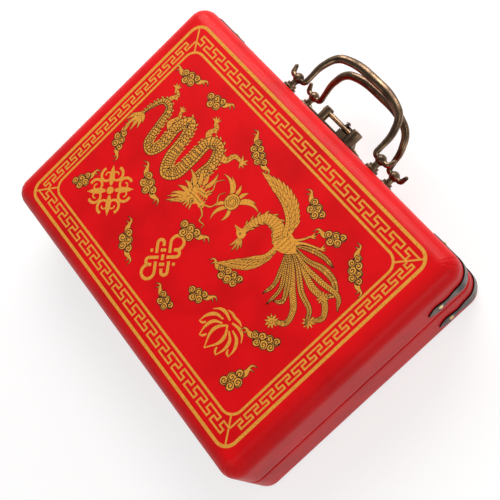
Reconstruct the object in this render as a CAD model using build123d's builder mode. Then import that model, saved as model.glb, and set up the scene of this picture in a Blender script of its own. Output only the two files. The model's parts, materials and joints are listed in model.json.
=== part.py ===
import os
from math import asin, cos, degrees, pi, radians, sin, sqrt

from build123d import *

os.makedirs("parts", exist_ok=True)

# A hinged carrying case with drawers inside. Millimetres, +Z up. The origin is the centre of the
# bottom face. The handles and the latch are on the front, at -Y; the hinges are on the back.

# ---- case: two halves of board covered in leathercloth ----
case_length = 316.0
case_width = 220.0
base_height = 32.8
lid_height = 40.8
seam = 0.4  # gap between the two halves
corner_radius = 14.0  # upright corners
lid_edge_radius = 13.8
base_edge_radius = 5.0
rim_radius = 0.8  # cloth folded over the rims
wall = 5.0
base_floor = 4.0

# ---- linings and inner tray ----
lining = 1.0
lining_gap = 0.1
lining_setback = 2.8  # from the lid's rim, clear of the tray's lip
tray_gap = 0.3
tray_wall = 4.0
tray_floor = 2.0
lip_height = 2.0  # tray above the base's rim, inside the lid
divider = 3.0
bearer_width = 6.0
bench_fit = 0.2  # ends of the dividers and bearers

# ---- drawer cabinet ----
board = 3.0
shelf_board = 2.5
cabinet_side_gap = 1.5
cabinet_front_setback = 20.0  # from the shell's inner front face
cabinet_back_gap = 1.7
cabinet_lift = 0.5  # underside of the floor board below the base's rim
bay_height = 28.0
slot_height = 10.7  # open slot under the middle drawer
middle_bay = 124.0
drawer_side_gap = 0.4
drawer_run_gap = 0.3
drawer_head_gap = 0.4
drawer_wall = 3.0
drawer_floor = 2.5
drawer_front = 5.0
drawer_back_gap = 0.5
drawer_lining = 0.8
front_edge_radius = 1.0
knob_radius = 3.4
knob_neck_radius = 1.6
knob_neck = 1.8
knob_foot_radius = 3.2
knob_foot = 0.6

# ---- hinges ----
hinge_x = 85.0
hinge_width = 30.0
hinge_leaf_height = 14.0
leaf = 1.2
hinge_standoff = 3.0  # axis behind the back face
knuckle_radius = 2.4
middle_knuckle = 9.7
knuckle_gap = 0.3
hinge_pin_radius = 1.2
pin_head_radius = 1.9
pin_head = 1.0
shaft_clearance = 0.05
screw_spread = 20.0
screw_drop = 9.0  # screws from the hinge axis
leaf_corner_radius = 2.4

# ---- handles ----
hub_x = 50.0
hub_reach = 10.5  # pivot in front of the face
lid_hub_drop = 20.0  # below the lid's top
base_hub_height = 19.0
flange_radius = 5.7
flange = 2.2
flange_edge_radius = 0.7
collar_radius = 4.2
collar = 4.4  # front of the collar, from the face
neck_radius = 2.6
hub_radius = 4.3
shank_radius = 1.5
shank_clearance = 0.1
nut_radius = 3.4
nut_height = 2.6
pivot_radius = 1.8
pivot_clearance = 0.08
bail_reach = 38.3
bail_arm_x = 42.6
bail_knee = (bail_arm_x, 17.0)
bail_shoulder = (37.2, 32.0)
bail_crown_x = 19.0
elbow_leg = 3.1
elbow_radius = 3.0
bend_radii = (24.0, 16.0, 60.0)
arm_size = (4.6, 4.6)  # across the bail's plane, and through it
grip_size = (7.6, 5.6)
grip_swell = 0.75
grip_stations = 24
tail_bend = (57.2, 0.0)
tail_tip = (60.0, 6.2)
tail_bend_radius = 2.6
tail_radius = 2.0
tail_ball_radius = 2.2
lid_bail_tilt = 5.0  # above level, as it rests
base_bail_tilt = 24.0

# ---- latch ----
latch_height = 12.0  # bolt above the lid's rim
latch_plate = 1.6
latch_plate_length = 62.0
latch_plate_height = 18.0
latch_plate_rise = 3.2  # plate's middle above the bolt
latch_nail_spread = 54.0
plate_tongue = 0.45  # height of the plate's ends, of its full height
drum_x = 16.0
small_drum_radius = 3.8
large_drum_radius = 4.6
small_drum_height = 10.6
large_drum_height = 12.0
drum_edge_radius = 0.8
bolt_radius = 2.0
bolt_clearance = 0.25
bolt_standoff = 7.0  # bolt centre from the plate
bolt_seat = 4.5  # bolt inside the large drum
bolt_travel = 14.0
thumb_x = -5.0
thumb_stem_radius = 1.0
thumb_stem = 1.9
thumb_radius = 2.25
thumb_height = 1.8
catch_plate_length = 50.0
catch_plate_height = 13.0
catch_lobe_x = 9.0
catch_nail_spread = 38.0
catch_width = 8.5
catch_clear = 0.5  # drawn-back bolt's end beyond the catch
catch_gap = 0.4
catch_back_gap = 0.5
catch_front = 1.2
catch_foot = 11.0
catch_toe = 2.0
catch_horn = 1.2  # back of the saddle above the bolt's centre

# ---- corner straps and nails ----
strap = 1.0
strap_leg = 42.0  # tip from the upright corner
strap_width = 10.0
strap_neck = 4.6
strap_leaf_width = 9.0
strap_leaf_length = 17.0
leaf_fullness = 0.62  # place of the leaf's widest point, from its tip
strap_nail_inset = 11.0
lid_strap_drop = 28.5
base_strap_height = 14.0
nail_radius = 2.0
nail_height = 1.1
nail_shank_radius = 0.6
nail_shank = 3.6

# ---- places that follow from the sizes ----
rim_z = base_height
lid_rim_z = base_height + seam
lid_top_z = lid_rim_z + lid_height
front_y = -case_width / 2
back_y = case_width / 2
inner_length = case_length - 2 * wall
inner_width = case_width - 2 * wall
inner_radius = corner_radius - wall

hinge_y = back_y + hinge_standoff
hinge_z = rim_z + seam / 2
hub_y = front_y - hub_reach
lid_hub_z = lid_top_z - lid_hub_drop
latch_z = lid_rim_z + latch_height
bolt_y = front_y - latch_plate - bolt_standoff
bolt_start = large_drum_radius - drum_x - bolt_seat
bolt_end = drum_x + small_drum_radius
catch_right = bolt_start + bolt_travel - catch_clear
catch_left = catch_right - catch_width

front = (0, -1, 0)
back = (0, 1, 0)


def disc_rods(points, direction, radius, length, mode=Mode.ADD):
    """Round rods or holes from each point along one direction."""
    for point in points:
        with BuildSketch(Plane(point, z_dir=direction)) as disc:
            Circle(radius)
        extrude(disc.sketch, amount=length, mode=mode)


def domes(points, direction, radius, height):
    """Low domes seated on each point, rising along one direction."""
    ball = (radius**2 + height**2) / (2 * height)
    low_angle = degrees(asin((ball - height) / ball))
    for point in points:
        with Locations(Plane(point, z_dir=direction)):
            Sphere(ball, low_angle, 90, align=(Align.CENTER, Align.CENTER, Align.MIN))


def nails(points, direction, seat):
    """Round-headed nails: a dome on the seat and a shank through it into the board."""
    outward = Vector(*direction)
    heads = [Vector(*point) + outward * seat for point in points]
    domes(heads, direction, nail_radius, nail_height)
    disc_rods(heads, -outward, nail_shank_radius, nail_shank)


def nail_holes(points, direction, seat):
    """Holes for the shanks of nails whose heads sit on the seat."""
    outward = Vector(*direction)
    heads = [Vector(*point) + outward * seat for point in points]
    disc_rods(heads, -outward, nail_shank_radius, nail_shank, mode=Mode.SUBTRACT)


def block(low, high, mode=Mode.ADD):
    """A square-edged board between two corners."""
    size = Vector(*high) - Vector(*low)
    middle = (Vector(*high) + Vector(*low)) / 2
    with Locations(middle):
        Box(size.X, size.Y, size.Z, mode=mode)


# Nails and posts, by the face that they stand on.
strap_tip_y = front_y + strap_leg
strap_nail_y = strap_tip_y - strap_nail_inset
strap_nail_x = case_length / 2 - strap_leg + strap_nail_inset
lid_strap_z = lid_top_z - lid_strap_drop
hub_xs = {"left": -hub_x, "right": hub_x}
corner_signs = {"left": -1, "right": 1}
latch_plate_z = latch_z + latch_plate_rise
latch_nails = [(sign * latch_nail_spread / 2, front_y, latch_plate_z) for sign in (-1, 1)]
catch_z = rim_z - rim_radius - catch_plate_height / 2
catch_nails = [(sign * catch_nail_spread / 2, front_y, catch_z) for sign in (-1, 1)]


def side_nail(sign, z):
    return (sign * case_length / 2, strap_nail_y, z)


def front_nail(sign, z):
    return (sign * strap_nail_x, front_y, z)


def hinge_screws(sign):
    """Screw places on the back face, above or below the hinge axis."""
    z = hinge_z + sign * screw_drop
    return [(sx * hinge_x + dx, back_y, z) for sx in (-1, 1) for dx in (-screw_spread / 2, screw_spread / 2)]


def shell_holes(hub_z, strap_z, plate_nails, screw_sign):
    """The holes in one half for its posts, nails and screws."""
    hubs = [(x, front_y, hub_z) for x in hub_xs.values()]
    disc_rods(hubs, back, shank_radius + shank_clearance, wall, mode=Mode.SUBTRACT)
    for sign in corner_signs.values():
        nail_holes([side_nail(sign, strap_z)], (sign, 0, 0), strap)
        nail_holes([front_nail(sign, strap_z)], front, strap)
    nail_holes(plate_nails, front, latch_plate)
    nail_holes(hinge_screws(screw_sign), back, leaf)


# ---- base shell ----
with BuildPart() as base_shell:
    with BuildSketch():
        RectangleRounded(case_length, case_width, corner_radius)
    extrude(amount=base_height)
    fillet(base_shell.faces().sort_by(Axis.Z)[0].edges(), base_edge_radius)
    fillet(base_shell.faces().sort_by(Axis.Z)[-1].edges(), rim_radius)
    with BuildSketch(Plane.XY.offset(base_floor)):
        RectangleRounded(inner_length, inner_width, inner_radius)
    extrude(amount=base_height, mode=Mode.SUBTRACT)
    shell_holes(base_hub_height, base_strap_height, catch_nails, -1)
base_shell.part.label = "base_shell"
export_step(base_shell.part, "parts/base_shell.step")

# ---- lid shell ----
def lid_form(inset, low):
    """The lid's outer form, drawn in by an inset all round, from a height up."""
    with BuildPart() as form:
        with BuildSketch(Plane.XY.offset(low)):
            RectangleRounded(case_length - 2 * inset, case_width - 2 * inset, corner_radius - inset)
        extrude(amount=lid_top_z - inset - low)
        fillet(form.faces().sort_by(Axis.Z)[-1].edges(), lid_edge_radius - inset)
    return form.part


lid_outside = lid_form(0, lid_rim_z)
lid_cavity = lid_form(wall, lid_rim_z)
lining_z = lid_rim_z + lining_setback
lining_outside = lid_form(wall + lining_gap, lining_z)
lining_cavity = lid_form(wall + lining_gap + lining, lining_z)

with BuildPart() as lid_shell:
    add(lid_outside)
    fillet(lid_shell.faces().sort_by(Axis.Z)[0].edges(), rim_radius)
    add(lid_cavity, mode=Mode.SUBTRACT)
    shell_holes(lid_hub_z, lid_strap_z, latch_nails, 1)
lid_shell.part.label = "lid_shell"
export_step(lid_shell.part, "parts/lid_shell.step")

# ---- lining of the lid: a thin flocked skin, set back from the rim ----
with BuildPart() as lid_lining:
    add(lining_outside)
    add(lining_cavity, mode=Mode.SUBTRACT)
    disc_rods(
        [(x, front_y, lid_hub_z) for x in hub_xs.values()],
        back,
        shank_radius + shank_clearance,
        wall + 2 * lining,
        mode=Mode.SUBTRACT,
    )
lid_lining.part.label = "lid_lining"
export_step(lid_lining.part, "parts/lid_lining.step")

# ---- inner tray of the base, its wall standing above the rim as a lip ----
tray_length = inner_length - 2 * tray_gap
tray_width = inner_width - 2 * tray_gap
tray_radius = inner_radius - tray_gap
lip_z = rim_z + lip_height
bay_floor_z = base_floor + tray_floor
with BuildPart() as base_tray:
    with BuildSketch(Plane.XY.offset(base_floor)):
        RectangleRounded(tray_length, tray_width, tray_radius)
    extrude(amount=lip_z - base_floor)
    with BuildSketch(Plane.XY.offset(bay_floor_z)):
        RectangleRounded(tray_length - 2 * tray_wall, tray_width - 2 * tray_wall, tray_radius - tray_wall)
    extrude(amount=lip_z - bay_floor_z, mode=Mode.SUBTRACT)
    disc_rods(
        [(x, front_y + wall, base_hub_height) for x in hub_xs.values()],
        back,
        shank_radius + shank_clearance,
        tray_gap + tray_wall,
        mode=Mode.SUBTRACT,
    )
base_tray.part.label = "base_tray"
export_step(base_tray.part, "parts/base_tray.step")

# ---- what the cabinet stands on: dividers under its partitions, bearers along the tray's sides ----
cabinet_z = rim_z - cabinet_lift
tray_inside_x = tray_length / 2 - tray_wall
tray_inside_y = tray_width / 2 - tray_wall
partition_x = (middle_bay + board) / 2
for side, sign in corner_signs.items():
    with BuildPart() as tray_divider:
        block(
            (sign * partition_x - divider / 2, -tray_inside_y + bench_fit, bay_floor_z),
            (sign * partition_x + divider / 2, tray_inside_y - bench_fit, cabinet_z),
        )
    tray_divider.part.label = f"tray_divider_{side}"
    export_step(tray_divider.part, f"parts/tray_divider_{side}.step")

cabinet_half = tray_inside_x - cabinet_side_gap
cabinet_front_y = front_y + wall + cabinet_front_setback
cabinet_back_y = tray_inside_y - cabinet_back_gap
bearer_back_y = tray_inside_y - (tray_radius - tray_wall) - bench_fit
with BuildPart() as cabinet_bearers:
    for sign in corner_signs.values():
        outer = sign * (tray_inside_x - bench_fit)
        inner = sign * (tray_inside_x - bench_fit - bearer_width)
        block(
            (min(outer, inner), cabinet_front_y, bay_floor_z),
            (max(outer, inner), bearer_back_y, cabinet_z),
        )
cabinet_bearers.part.label = "cabinet_bearers"
export_step(cabinet_bearers.part, "parts/cabinet_bearers.step")

# ---- drawer cabinet, board by board ----
bay_z = cabinet_z + board
bay_top_z = bay_z + bay_height
with BuildPart() as cabinet_floor:
    block((-cabinet_half, cabinet_front_y, cabinet_z), (cabinet_half, cabinet_back_y, bay_z))
cabinet_floor.part.label = "cabinet_floor"
export_step(cabinet_floor.part, "parts/cabinet_floor.step")

with BuildPart() as cabinet_top:
    block(
        (-cabinet_half, cabinet_front_y, bay_top_z),
        (cabinet_half, cabinet_back_y, bay_top_z + board),
    )
    front_edge = cabinet_top.edges().filter_by(Axis.X).sort_by(Axis.Z)[-2:].sort_by(Axis.Y)[0]
    fillet(front_edge, front_edge_radius)
cabinet_top.part.label = "cabinet_top"
export_step(cabinet_top.part, "parts/cabinet_top.step")

with BuildPart() as cabinet_back:
    block(
        (board - cabinet_half, cabinet_back_y - board, bay_z),
        (cabinet_half - board, cabinet_back_y, bay_top_z),
    )
cabinet_back.part.label = "cabinet_back"
export_step(cabinet_back.part, "parts/cabinet_back.step")

for side, sign in corner_signs.items():
    with BuildPart() as cabinet_side:
        block(
            (sign * (cabinet_half - board / 2) - board / 2, cabinet_front_y, bay_z),
            (sign * (cabinet_half - board / 2) + board / 2, cabinet_back_y, bay_top_z),
        )
    cabinet_side.part.label = f"cabinet_side_{side}"
    export_step(cabinet_side.part, f"parts/cabinet_side_{side}.step")

    with BuildPart() as cabinet_partition:
        block(
            (sign * partition_x - board / 2, cabinet_front_y, bay_z),
            (sign * partition_x + board / 2, cabinet_back_y - board, bay_top_z),
        )
    cabinet_partition.part.label = f"cabinet_partition_{side}"
    export_step(cabinet_partition.part, f"parts/cabinet_partition_{side}.step")

shelf_z = bay_z + slot_height
with BuildPart() as cabinet_shelf:
    block(
        (-middle_bay / 2, cabinet_front_y, shelf_z),
        (middle_bay / 2, cabinet_back_y - board, shelf_z + shelf_board),
    )
cabinet_shelf.part.label = "cabinet_shelf"
export_step(cabinet_shelf.part, "parts/cabinet_shelf.step")


# ---- drawers ----
def make_drawer(name, left, right, low, high):
    """One drawer: box, front, knob and lining. left, right, low and high bound its bay."""
    x0 = left + drawer_side_gap
    x1 = right - drawer_side_gap
    z0 = low + drawer_run_gap
    z1 = high - drawer_head_gap
    box_y = cabinet_front_y + drawer_front
    box_back_y = cabinet_back_y - board - drawer_back_gap
    middle = ((x0 + x1) / 2, cabinet_front_y, (z0 + z1) / 2)

    with BuildPart() as box:
        block((x0, box_y, z0), (x1, box_back_y, z1))
        block(
            (x0 + drawer_wall, box_y + drawer_wall, z0 + drawer_floor),
            (x1 - drawer_wall, box_back_y - drawer_wall, z1),
            mode=Mode.SUBTRACT,
        )
    box.part.label = f"{name}_box"
    export_step(box.part, f"parts/{name}_box.step")

    with BuildPart() as panel:
        block((x0, cabinet_front_y, z0), (x1, box_y, z1))
        fillet(panel.faces().sort_by(Axis.Y)[0].edges(), front_edge_radius)
    panel.part.label = f"{name}_front"
    export_step(panel.part, f"parts/{name}_front.step")

    with BuildPart() as knob:
        disc_rods([middle], front, knob_foot_radius, knob_foot)
        disc_rods([middle], front, knob_neck_radius, knob_foot + knob_neck + knob_radius / 2)
        with Locations((middle[0], middle[1] - knob_foot - knob_neck - knob_radius, middle[2])):
            Sphere(knob_radius)
    knob.part.label = f"{name}_knob"
    export_step(knob.part, f"parts/{name}_knob.step")

    with BuildPart() as felt:
        block(
            (x0 + drawer_wall + bench_fit, box_y + drawer_wall + bench_fit, z0 + drawer_floor),
            (
                x1 - drawer_wall - bench_fit,
                box_back_y - drawer_wall - bench_fit,
                z0 + drawer_floor + drawer_lining,
            ),
        )
    felt.part.label = f"{name}_lining"
    export_step(felt.part, f"parts/{name}_lining.step")


side_bay_inner = partition_x + board / 2
side_bay_outer = cabinet_half - board
make_drawer("drawer_left", -side_bay_outer, -side_bay_inner, bay_z, bay_top_z)
make_drawer("drawer_right", side_bay_inner, side_bay_outer, bay_z, bay_top_z)
make_drawer("drawer_middle", -middle_bay / 2, middle_bay / 2, shelf_z + shelf_board, bay_top_z)


# ---- hinges ----
def knuckle_spans():
    """Spans of the base's two outer knuckles and the lid's middle one, from the hinge's middle."""
    near = middle_knuckle / 2 + knuckle_gap
    outer = [(-hinge_width / 2, -near), (near, hinge_width / 2)]
    return outer, [(-middle_knuckle / 2, middle_knuckle / 2)]


def make_leaf(name, middle_x, sign, own_spans, other_spans, screws):
    """A hinge leaf. sign is -1 for the leaf on the base and 1 for the leaf on the lid."""
    far_z = hinge_z + sign * hinge_leaf_height
    with BuildPart() as piece:
        block(
            (middle_x - hinge_width / 2, back_y, min(hinge_z, far_z)),
            (middle_x + hinge_width / 2, back_y + leaf, max(hinge_z, far_z)),
        )
        fillet(piece.edges().filter_by(Axis.Y).group_by(Axis.Z)[0 if sign < 0 else -1], leaf_corner_radius)
        for low, high in other_spans:
            cut_z = hinge_z + sign * (knuckle_radius + knuckle_gap)
            block(
                (middle_x + low - knuckle_gap, back_y, min(hinge_z, cut_z)),
                (middle_x + high + knuckle_gap, back_y + leaf, max(hinge_z, cut_z)),
                mode=Mode.SUBTRACT,
            )
        for low, high in own_spans:
            start = (middle_x + low, hinge_y, hinge_z)
            disc_rods([start], (1, 0, 0), knuckle_radius, high - low)
            disc_rods([start], (1, 0, 0), hinge_pin_radius + shaft_clearance, high - low, Mode.SUBTRACT)
        nail_holes(screws, back, leaf)
    piece.part.label = name
    export_step(piece.part, f"parts/{name}.step")


base_spans, lid_spans = knuckle_spans()
for side, sign in corner_signs.items():
    x = sign * hinge_x
    make_leaf(f"hinge_{side}_base_leaf", x, -1, base_spans, lid_spans, hinge_screws(-1))
    make_leaf(f"hinge_{side}_lid_leaf", x, 1, lid_spans, base_spans, hinge_screws(1))
    with BuildPart() as hinge_pin:
        end = (x - hinge_width / 2 - pin_head, hinge_y, hinge_z)
        disc_rods([end], (1, 0, 0), hinge_pin_radius, hinge_width + 2 * pin_head)
        for head_x in (end[0], x + hinge_width / 2):
            disc_rods([(head_x, hinge_y, hinge_z)], (1, 0, 0), pin_head_radius, pin_head)
    hinge_pin.part.label = f"hinge_{side}_pin"
    export_step(hinge_pin.part, f"parts/hinge_{side}_pin.step")

for half, sign in {"base": -1, "lid": 1}.items():
    with BuildPart() as screws:
        nails(hinge_screws(sign), back, leaf)
    screws.part.label = f"hinge_screws_{half}"
    export_step(screws.part, f"parts/hinge_screws_{half}.step")


# ---- handle posts and nuts ----
def make_post(name, x, z, grip_depth):
    """A turned post: flange, collar, neck and cross-bored ball in front, shank through the wall."""
    ball_start = hub_reach - sqrt(hub_radius**2 - neck_radius**2)
    profile_plane = Plane((x, front_y, z), x_dir=front, z_dir=(1, 0, 0))
    with BuildPart() as post:
        with BuildSketch(profile_plane) as profile:
            with BuildLine():
                Polyline(
                    (hub_reach + hub_radius, 0),
                    (-grip_depth - nut_height / 2, 0),
                    (-grip_depth - nut_height / 2, shank_radius),
                    (0, shank_radius),
                    (0, flange_radius),
                    (flange, flange_radius),
                    (flange, collar_radius),
                    (collar, collar_radius),
                    (collar, neck_radius),
                    (ball_start, neck_radius),
                )
                ThreePointArc(
                    (ball_start, neck_radius),
                    (hub_reach, hub_radius),
                    (hub_reach + hub_radius, 0),
                )
            make_face()
        revolve(profile.sketch, axis=Axis((x, front_y, z), front))
        rim_edges = post.edges().filter_by(GeomType.CIRCLE).filter_by(
            lambda edge: abs(edge.radius - flange_radius) < 0.01
        )
        fillet(rim_edges.sort_by(Axis.Y)[0], flange_edge_radius)
        disc_rods(
            [(x - hub_x / 2, hub_y, z)],
            (1, 0, 0),
            pivot_radius + pivot_clearance,
            hub_x,
            mode=Mode.SUBTRACT,
        )
    post.part.label = name
    export_step(post.part, f"parts/{name}.step")


lid_grip_depth = wall + lining_gap + lining
base_grip_depth = wall + tray_gap + tray_wall
for half, hub_z, grip_depth in (
    ("lid", lid_hub_z, lid_grip_depth),
    ("base", base_hub_height, base_grip_depth),
):
    for side, x in hub_xs.items():
        make_post(f"{half}_handle_post_{side}", x, hub_z, grip_depth)
    with BuildPart() as nuts:
        seats = [(x, front_y + grip_depth, hub_z) for x in hub_xs.values()]
        domes(seats, back, nut_radius, nut_height)
        disc_rods(seats, back, shank_radius, nut_height / 2, mode=Mode.SUBTRACT)
    nuts.part.label = f"{half}_handle_nuts"
    export_step(nuts.part, f"parts/{half}_handle_nuts.step")


# ---- bail handles ----
def make_bail(name, hub_z, tilt):
    """A bail in the plane that leans up from the pivot axis by the tilt."""
    lean = radians(tilt)
    outward = Vector(0, -cos(lean), sin(lean))
    plane = Plane((0, hub_y, hub_z), x_dir=(1, 0, 0), z_dir=Vector(1, 0, 0).cross(outward))
    half_route = [(bail_arm_x, elbow_leg), bail_knee, bail_shoulder, (bail_crown_x, bail_reach)]
    route = half_route + [(-x, r) for x, r in reversed(half_route)]
    radii = list(bend_radii) + list(reversed(bend_radii))
    with BuildLine(plane) as spine:
        FilletPolyline(*route, radius=radii)
    spine_wire = spine.wires()[0]

    with BuildPart() as bail:
        sections = []
        for station in range(grip_stations + 1):
            share = station / grip_stations
            swell = sin(pi * share) ** grip_swell
            width, depth = (thin + (full - thin) * swell for thin, full in zip(arm_size, grip_size))
            across = Plane(spine_wire @ share, x_dir=plane.z_dir, z_dir=spine_wire % share)
            with BuildSketch(across) as section:
                Ellipse(depth / 2, width / 2)
            sections.append(section.sketch)
        loft(sections)
        for sign in (-1, 1):
            elbow_start = (sign * (bail_arm_x + elbow_leg), 0)
            with BuildLine(plane) as elbow_line:
                FilletPolyline(
                    elbow_start,
                    (sign * bail_arm_x, 0),
                    (sign * bail_arm_x, elbow_leg),
                    radius=elbow_radius,
                )
            start = plane.from_local_coords((*elbow_start, 0))
            with BuildSketch(Plane(start, z_dir=(-sign, 0, 0))) as elbow_section:
                Circle(arm_size[0] / 2)
            sweep(elbow_section.sketch, path=elbow_line.wires()[0])
            tail_start = (sign * (tail_bend[0] - tail_bend_radius), 0)
            disc_rods([start], (sign, 0, 0), pivot_radius, sign * (tail_start[0] - elbow_start[0]))
            with BuildLine(plane) as tail_line:
                FilletPolyline(
                    tail_start,
                    (sign * tail_bend[0], 0),
                    (sign * tail_tip[0], tail_tip[1]),
                    radius=tail_bend_radius,
                )
            start = plane.from_local_coords((*tail_start, 0))
            with BuildSketch(Plane(start, z_dir=(sign, 0, 0))) as tail_section:
                Circle(tail_radius)
            sweep(tail_section.sketch, path=tail_line.wires()[0])
            with Locations(plane.from_local_coords((sign * tail_tip[0], tail_tip[1], 0))):
                Sphere(tail_ball_radius)
    bail.part.label = name
    export_step(bail.part, f"parts/{name}.step")


make_bail("lid_handle", lid_hub_z, lid_bail_tilt)
make_bail("base_handle", base_hub_height, base_bail_tilt)

# ---- latch: plate and drums on the lid, sliding bolt, catch on the base ----
def make_plate(name, length, height, lobe_x, middle_z, nail_points):
    """A thin plate with a lobed outline, nailed to the front face."""
    tongue = height * plate_tongue
    with BuildPart() as plate:
        with BuildSketch(Plane((0, front_y, middle_z), x_dir=(1, 0, 0), z_dir=front)) as outline:
            Rectangle(2 * lobe_x, height)
            Rectangle(length - tongue, tongue)
            for sign in (-1, 1):
                with Locations((sign * lobe_x, 0)):
                    Circle(height / 2)
                with Locations((sign * (length - tongue) / 2, 0)):
                    Circle(tongue / 2)
        extrude(outline.sketch, amount=latch_plate)
        nail_holes(nail_points, front, latch_plate)
    plate.part.label = name
    export_step(plate.part, f"parts/{name}.step")


make_plate("latch_plate", latch_plate_length, latch_plate_height, drum_x, latch_plate_z, latch_nails)
make_plate("catch_plate", catch_plate_length, catch_plate_height, catch_lobe_x, catch_z, catch_nails)


def make_drum(name, x, radius, height, bore_start, bore_length):
    """A drum standing out from the plate, bored along X for the bolt."""
    with BuildPart() as drum:
        disc_rods([(x, front_y - latch_plate, latch_z)], front, radius, height)
        fillet(drum.faces().sort_by(Axis.Y)[0].edges(), drum_edge_radius)
        disc_rods(
            [(bore_start, bolt_y, latch_z)],
            (1, 0, 0),
            bolt_radius + bolt_clearance,
            bore_length,
            mode=Mode.SUBTRACT,
        )
    drum.part.label = name
    export_step(drum.part, f"parts/{name}.step")


make_drum("latch_drum_right", drum_x, small_drum_radius, small_drum_height, 0, 2 * drum_x)
make_drum(
    "latch_drum_left",
    -drum_x,
    large_drum_radius,
    large_drum_height,
    bolt_start - bolt_clearance,
    drum_x,
)

with BuildPart() as latch_bolt:
    disc_rods([(bolt_start, bolt_y, latch_z)], (1, 0, 0), bolt_radius, bolt_end - bolt_start)
    disc_rods([(thumb_x, bolt_y, latch_z)], front, thumb_stem_radius, bolt_radius, Mode.SUBTRACT)
latch_bolt.part.label = "latch_bolt"
export_step(latch_bolt.part, "parts/latch_bolt.step")

thumb_seat_y = bolt_y - bolt_radius - thumb_stem
with BuildPart() as latch_thumb_knob:
    disc_rods([(thumb_x, bolt_y, latch_z)], front, thumb_stem_radius, bolt_radius + thumb_stem)
    domes([(thumb_x, thumb_seat_y, latch_z)], front, thumb_radius, thumb_height)
latch_thumb_knob.part.label = "latch_thumb_knob"
export_step(latch_thumb_knob.part, "parts/latch_thumb_knob.step")

# The catch is a saddle, open upwards, that the bolt lies in.
saddle_radius = bolt_radius + catch_gap
bolt_out = front_y - bolt_y
lip_out = bolt_out + saddle_radius + catch_front
catch_back_out = latch_plate + catch_back_gap
catch_step_z = rim_z - rim_radius
catch_lip_z = latch_z - thumb_stem_radius - catch_gap
catch_horn_z = latch_z + catch_horn
with BuildPart() as latch_catch:
    with BuildSketch(Plane((catch_left, front_y, 0), x_dir=front, z_dir=(-1, 0, 0))) as profile:
        with BuildLine():
            Polyline(
                (latch_plate, catch_step_z - catch_foot),
                (latch_plate, catch_step_z),
                (catch_back_out, catch_step_z),
                (catch_back_out, catch_horn_z),
                (bolt_out - saddle_radius, catch_horn_z),
                (bolt_out - saddle_radius, catch_lip_z),
                (lip_out, catch_lip_z),
                (lip_out, lid_rim_z),
                (latch_plate + catch_toe, catch_step_z - catch_foot),
                close=True,
            )
        make_face()
        with Locations((bolt_out, latch_z)):
            Circle(saddle_radius, mode=Mode.SUBTRACT)
    extrude(profile.sketch, amount=-catch_width)
latch_catch.part.label = "latch_catch"
export_step(latch_catch.part, "parts/latch_catch.step")

for name, points in {"latch_plate_nails": latch_nails, "catch_plate_nails": catch_nails}.items():
    with BuildPart() as plate_nails:
        nails(points, front, latch_plate)
    plate_nails.part.label = name
    export_step(plate_nails.part, f"parts/{name}.step")


# ---- corner straps and their nails ----
def strap_outline(plane):
    """A strap's leg seen square on: full width round the corner, then a neck and a pointed leaf."""
    full = strap_width / 2
    tip = strap_leg + strap
    neck = (tip - strap_leaf_length, strap_neck / 2)
    widest = (tip - strap_leaf_length * leaf_fullness, strap_leaf_width / 2)
    with BuildSketch(plane) as outline:
        with BuildLine():
            Line((0, 0), (0, full))
            Line((0, full), (corner_radius, full))
            Spline((corner_radius, full), neck, widest, (tip, 0), tangents=((1, 0), (1, -1)))
            mirror(about=Plane.XZ)
        make_face()
    return outline.sketch


def strap_form(sign, z):
    """The block that a strap is cut from, one leg along each face of the corner."""
    reach = corner_radius + strap
    side_x = sign * (case_length / 2 - corner_radius)
    with BuildPart() as form:
        extrude(
            strap_outline(Plane((side_x, front_y - strap, z), x_dir=(0, 1, 0), z_dir=(sign, 0, 0))),
            amount=reach,
        )
        end_x = sign * (case_length / 2 + strap)
        extrude(
            strap_outline(Plane((end_x, front_y + corner_radius, z), x_dir=(-sign, 0, 0), z_dir=front)),
            amount=reach,
        )
    return form.part


for half, z in {"lid": lid_strap_z, "base": base_strap_height}.items():
    for side, sign in corner_signs.items():
        form = strap_form(sign, z)
        with BuildPart() as corner_strap:
            with BuildSketch(Plane.XY.offset(z - strap_width / 2)) as band:
                RectangleRounded(case_length + 2 * strap, case_width + 2 * strap, corner_radius + strap)
                RectangleRounded(case_length, case_width, corner_radius, mode=Mode.SUBTRACT)
            extrude(band.sketch, amount=strap_width)
            add(form, mode=Mode.INTERSECT)
            nail_holes([side_nail(sign, z)], (sign, 0, 0), strap)
            nail_holes([front_nail(sign, z)], front, strap)
        corner_strap.part.label = f"{half}_strap_{side}"
        export_step(corner_strap.part, f"parts/{half}_strap_{side}.step")
    with BuildPart() as strap_nails:
        for sign in corner_signs.values():
            nails([side_nail(sign, z)], (sign, 0, 0), strap)
            nails([front_nail(sign, z)], front, strap)
    strap_nails.part.label = f"{half}_strap_nails"
    export_step(strap_nails.part, f"parts/{half}_strap_nails.step")
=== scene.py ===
import json
from math import acos, atan2, cos, pi, radians, sin, tan

import bpy
from mathutils import Euler, Matrix, Vector, noise


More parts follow.
